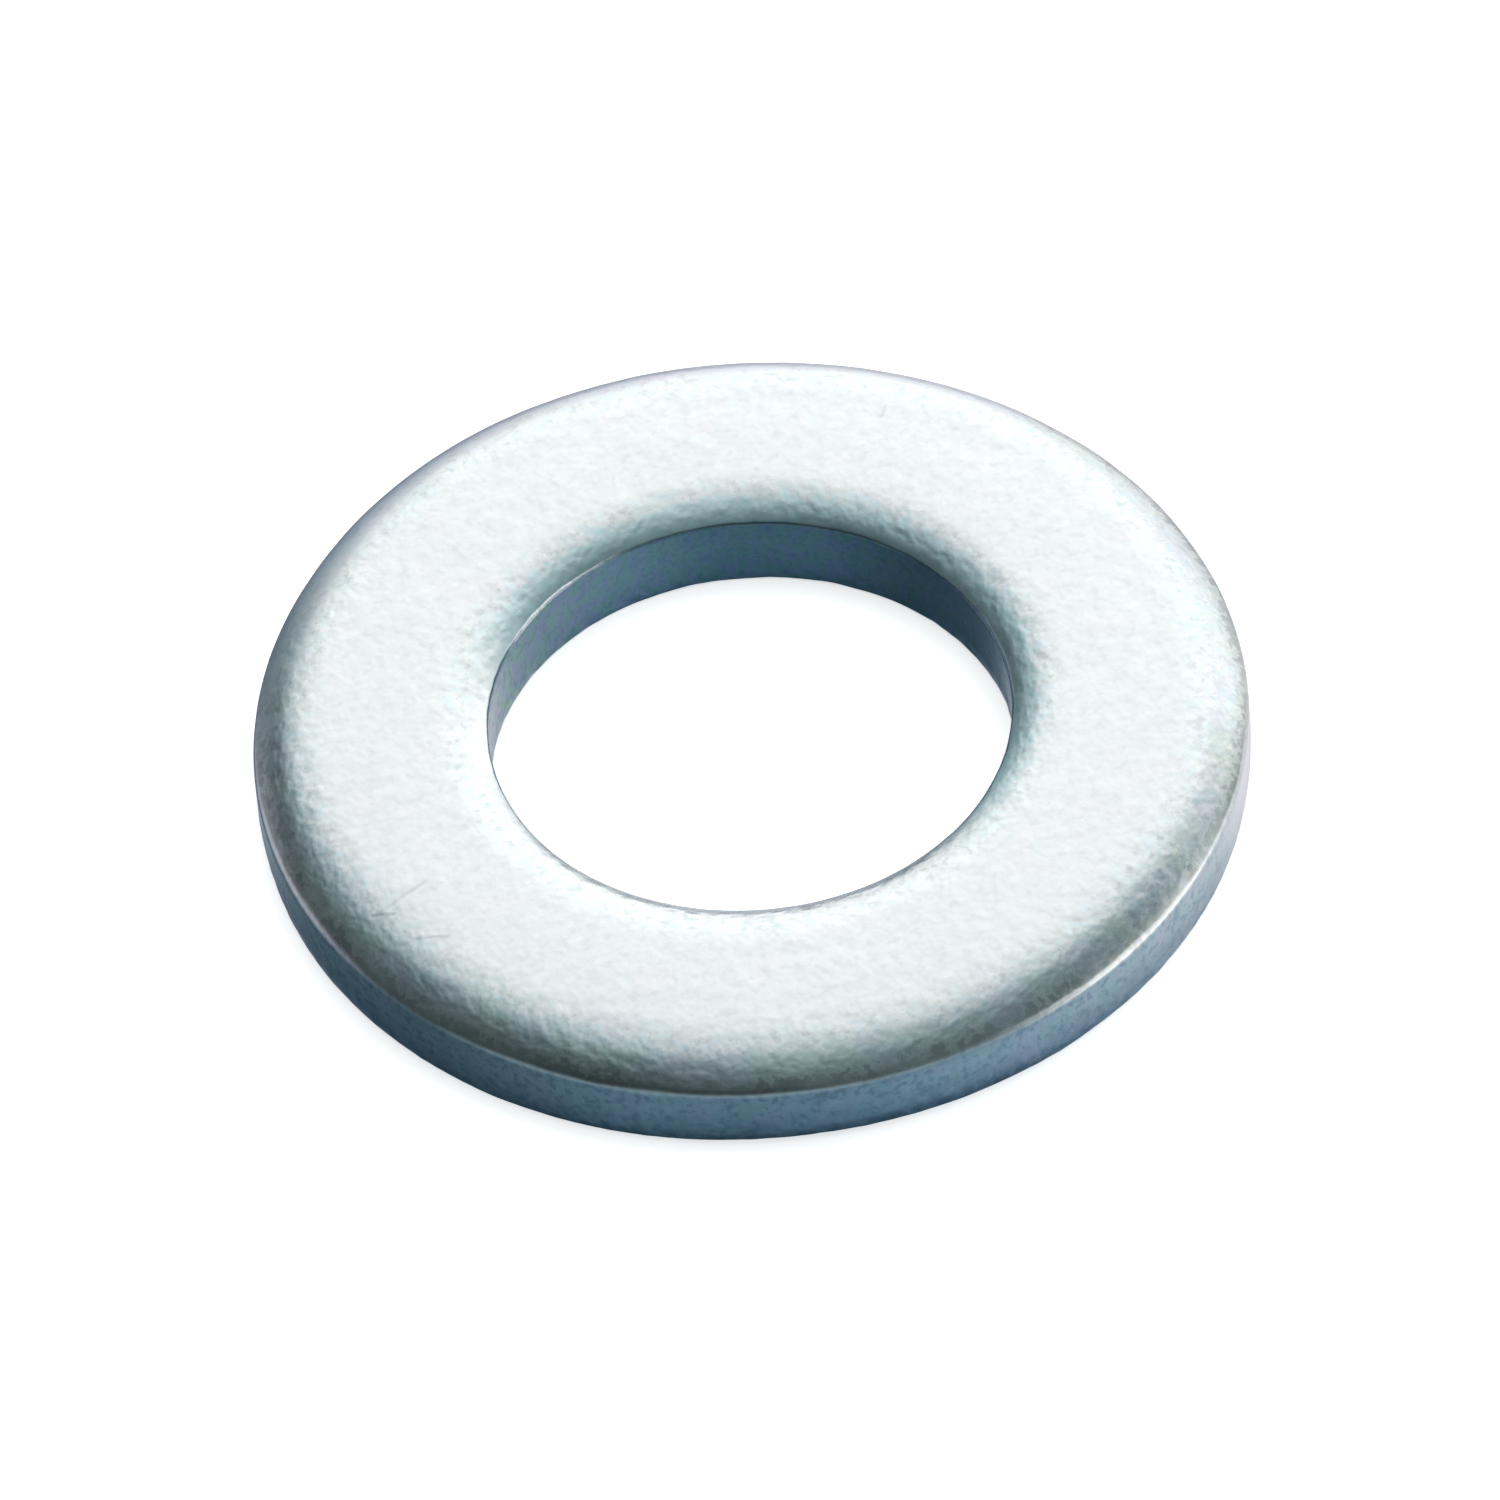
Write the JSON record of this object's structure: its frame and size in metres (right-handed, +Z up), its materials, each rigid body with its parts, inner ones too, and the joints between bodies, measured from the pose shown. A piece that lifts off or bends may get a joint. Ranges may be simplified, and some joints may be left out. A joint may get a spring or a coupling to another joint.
{
  "type": "flat washer",
  "caption": "Flat round washer of zinc-plated sheet steel, which spreads a bolt head's or nut's load over the surface under it.",
  "frame": {"origin": "centre of the bore, on the lower bearing face (the face with the sheared, square edges)", "axes": "+Z up the bore's axis, towards the upper face with the rounded die rolls; X and Y lie in the bearing face, and the washer is round about Z"},
  "size_m": [0.02, 0.02, 0.002],
  "materials": {
    "zinc_plated_steel": "bright zinc electroplate with a clear, faintly blue passivation; fine tumbled grain on the faces and die rolls, smoother on the sheared walls"
  },
  "bodies": {
    "root": {"washer": "zinc_plated_steel"}
  },
  "joints": []
}
